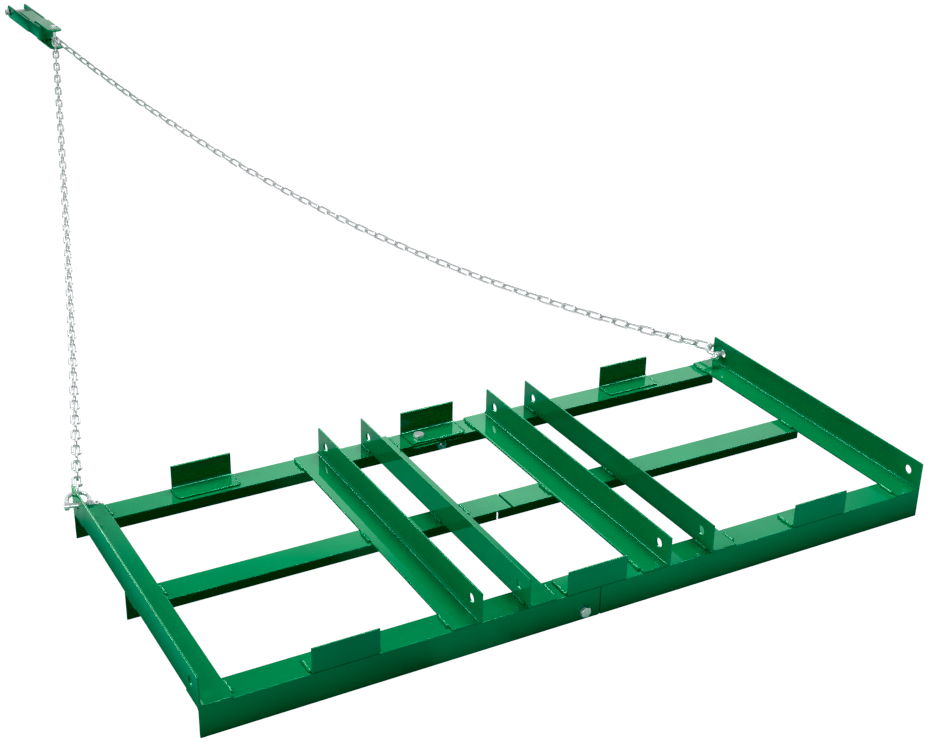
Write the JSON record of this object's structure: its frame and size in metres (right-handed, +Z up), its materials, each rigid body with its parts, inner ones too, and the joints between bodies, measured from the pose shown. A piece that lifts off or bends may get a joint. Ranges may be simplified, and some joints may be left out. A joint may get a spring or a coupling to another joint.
{
  "type": "tow-behind driveway drag",
  "caption": "Low wide frame of green angle-iron blades and cross members in two bolted halves, towed by a two-leg chain bridle and a steel tow link.",
  "frame": {"origin": "on the ground under the centre of the angle-iron frame", "axes": "+X to the right across the drag, +Y forward in the towing direction, +Z up"},
  "size_m": [1.7312, 4.3269, 0.3513],
  "materials": {
    "green_paint": "gloss enamel over mill-finish angle iron and weld beads",
    "zinc": "bright zinc plating"
  },
  "bodies": {
    "drag_frame": {"front_rail_left": "green_paint", "front_rail_right": "green_paint", "middle_rail_left": "green_paint", "middle_rail_right": "green_paint", "rear_rail_left": "green_paint", "rear_rail_right": "green_paint", "end_member_left": "green_paint", "cross_member_1": "green_paint", "cross_member_2": "green_paint", "cross_member_3": "green_paint", "cross_member_4": "green_paint", "end_member_right": "green_paint", "tab_front_left": "green_paint", "tab_front_right": "green_paint", "tab_rear_left": "green_paint", "tab_rear_right": "green_paint", "tab_front_middle": "green_paint", "tab_rear_middle": "green_paint", "splice_front": "green_paint", "splice_rear": "green_paint", "blade_bolt_front": "zinc", "blade_nut_front": "zinc", "tab_bolt_front": "zinc", "tab_nut_front": "zinc", "blade_bolt_rear": "zinc", "blade_nut_rear": "zinc", "tab_bolt_rear": "zinc", "tab_nut_rear": "zinc"},
    "shackle_left_body": {"shackle_left": "zinc", "shackle_pin_left": "zinc"},
    "shackle_right_body": {"shackle_right": "zinc", "shackle_pin_right": "zinc"},
    "chain_bridle": {"chain_left": "zinc", "chain_right": "zinc", "end_link_shackle_left": "zinc", "end_link_shackle_right": "zinc", "end_link_hitch_left": "zinc", "end_link_hitch_right": "zinc"},
    "tow_link": {"tow_clevis_rear": "green_paint", "tow_clevis_front": "green_paint", "chain_bolt_washer": "zinc", "chain_bolt": "zinc", "chain_bolt_nut": "zinc", "cross_bolt_washer": "zinc", "cross_bolt": "zinc", "cross_bolt_nut": "zinc"}
  },
  "joints": [
    {"name": "shackle_pivot_left", "type": "hinge", "parent": "drag_frame", "child": "shackle_left_body", "pos_m": [-0.836, 0.3405, 0.0998], "axis": [1, 0, 0], "range_deg": [0, 15]},
    {"name": "shackle_pivot_right", "type": "hinge", "parent": "drag_frame", "child": "shackle_right_body", "pos_m": [0.836, 0.3405, 0.0998], "axis": [1, 0, 0], "range_deg": [0, 15]},
    {"name": "bridle_lift", "type": "hinge", "parent": "shackle_left_body", "child": "chain_bridle", "pos_m": [-0.8239, 0.38475, 0.10301], "axis": [1, 0, 0], "range_deg": [-1, 95]},
    {"name": "tow_link_swivel", "type": "hinge", "parent": "chain_bridle", "child": "tow_link", "pos_m": [0, 3.39, 0.3], "axis": [0, 0.0201, 0.9998], "range_deg": [-80, 80]}
  ],
  "couplings": [
    {"joint": "shackle_pivot_right", "follows": "shackle_pivot_left", "ratio": 1}
  ]
}
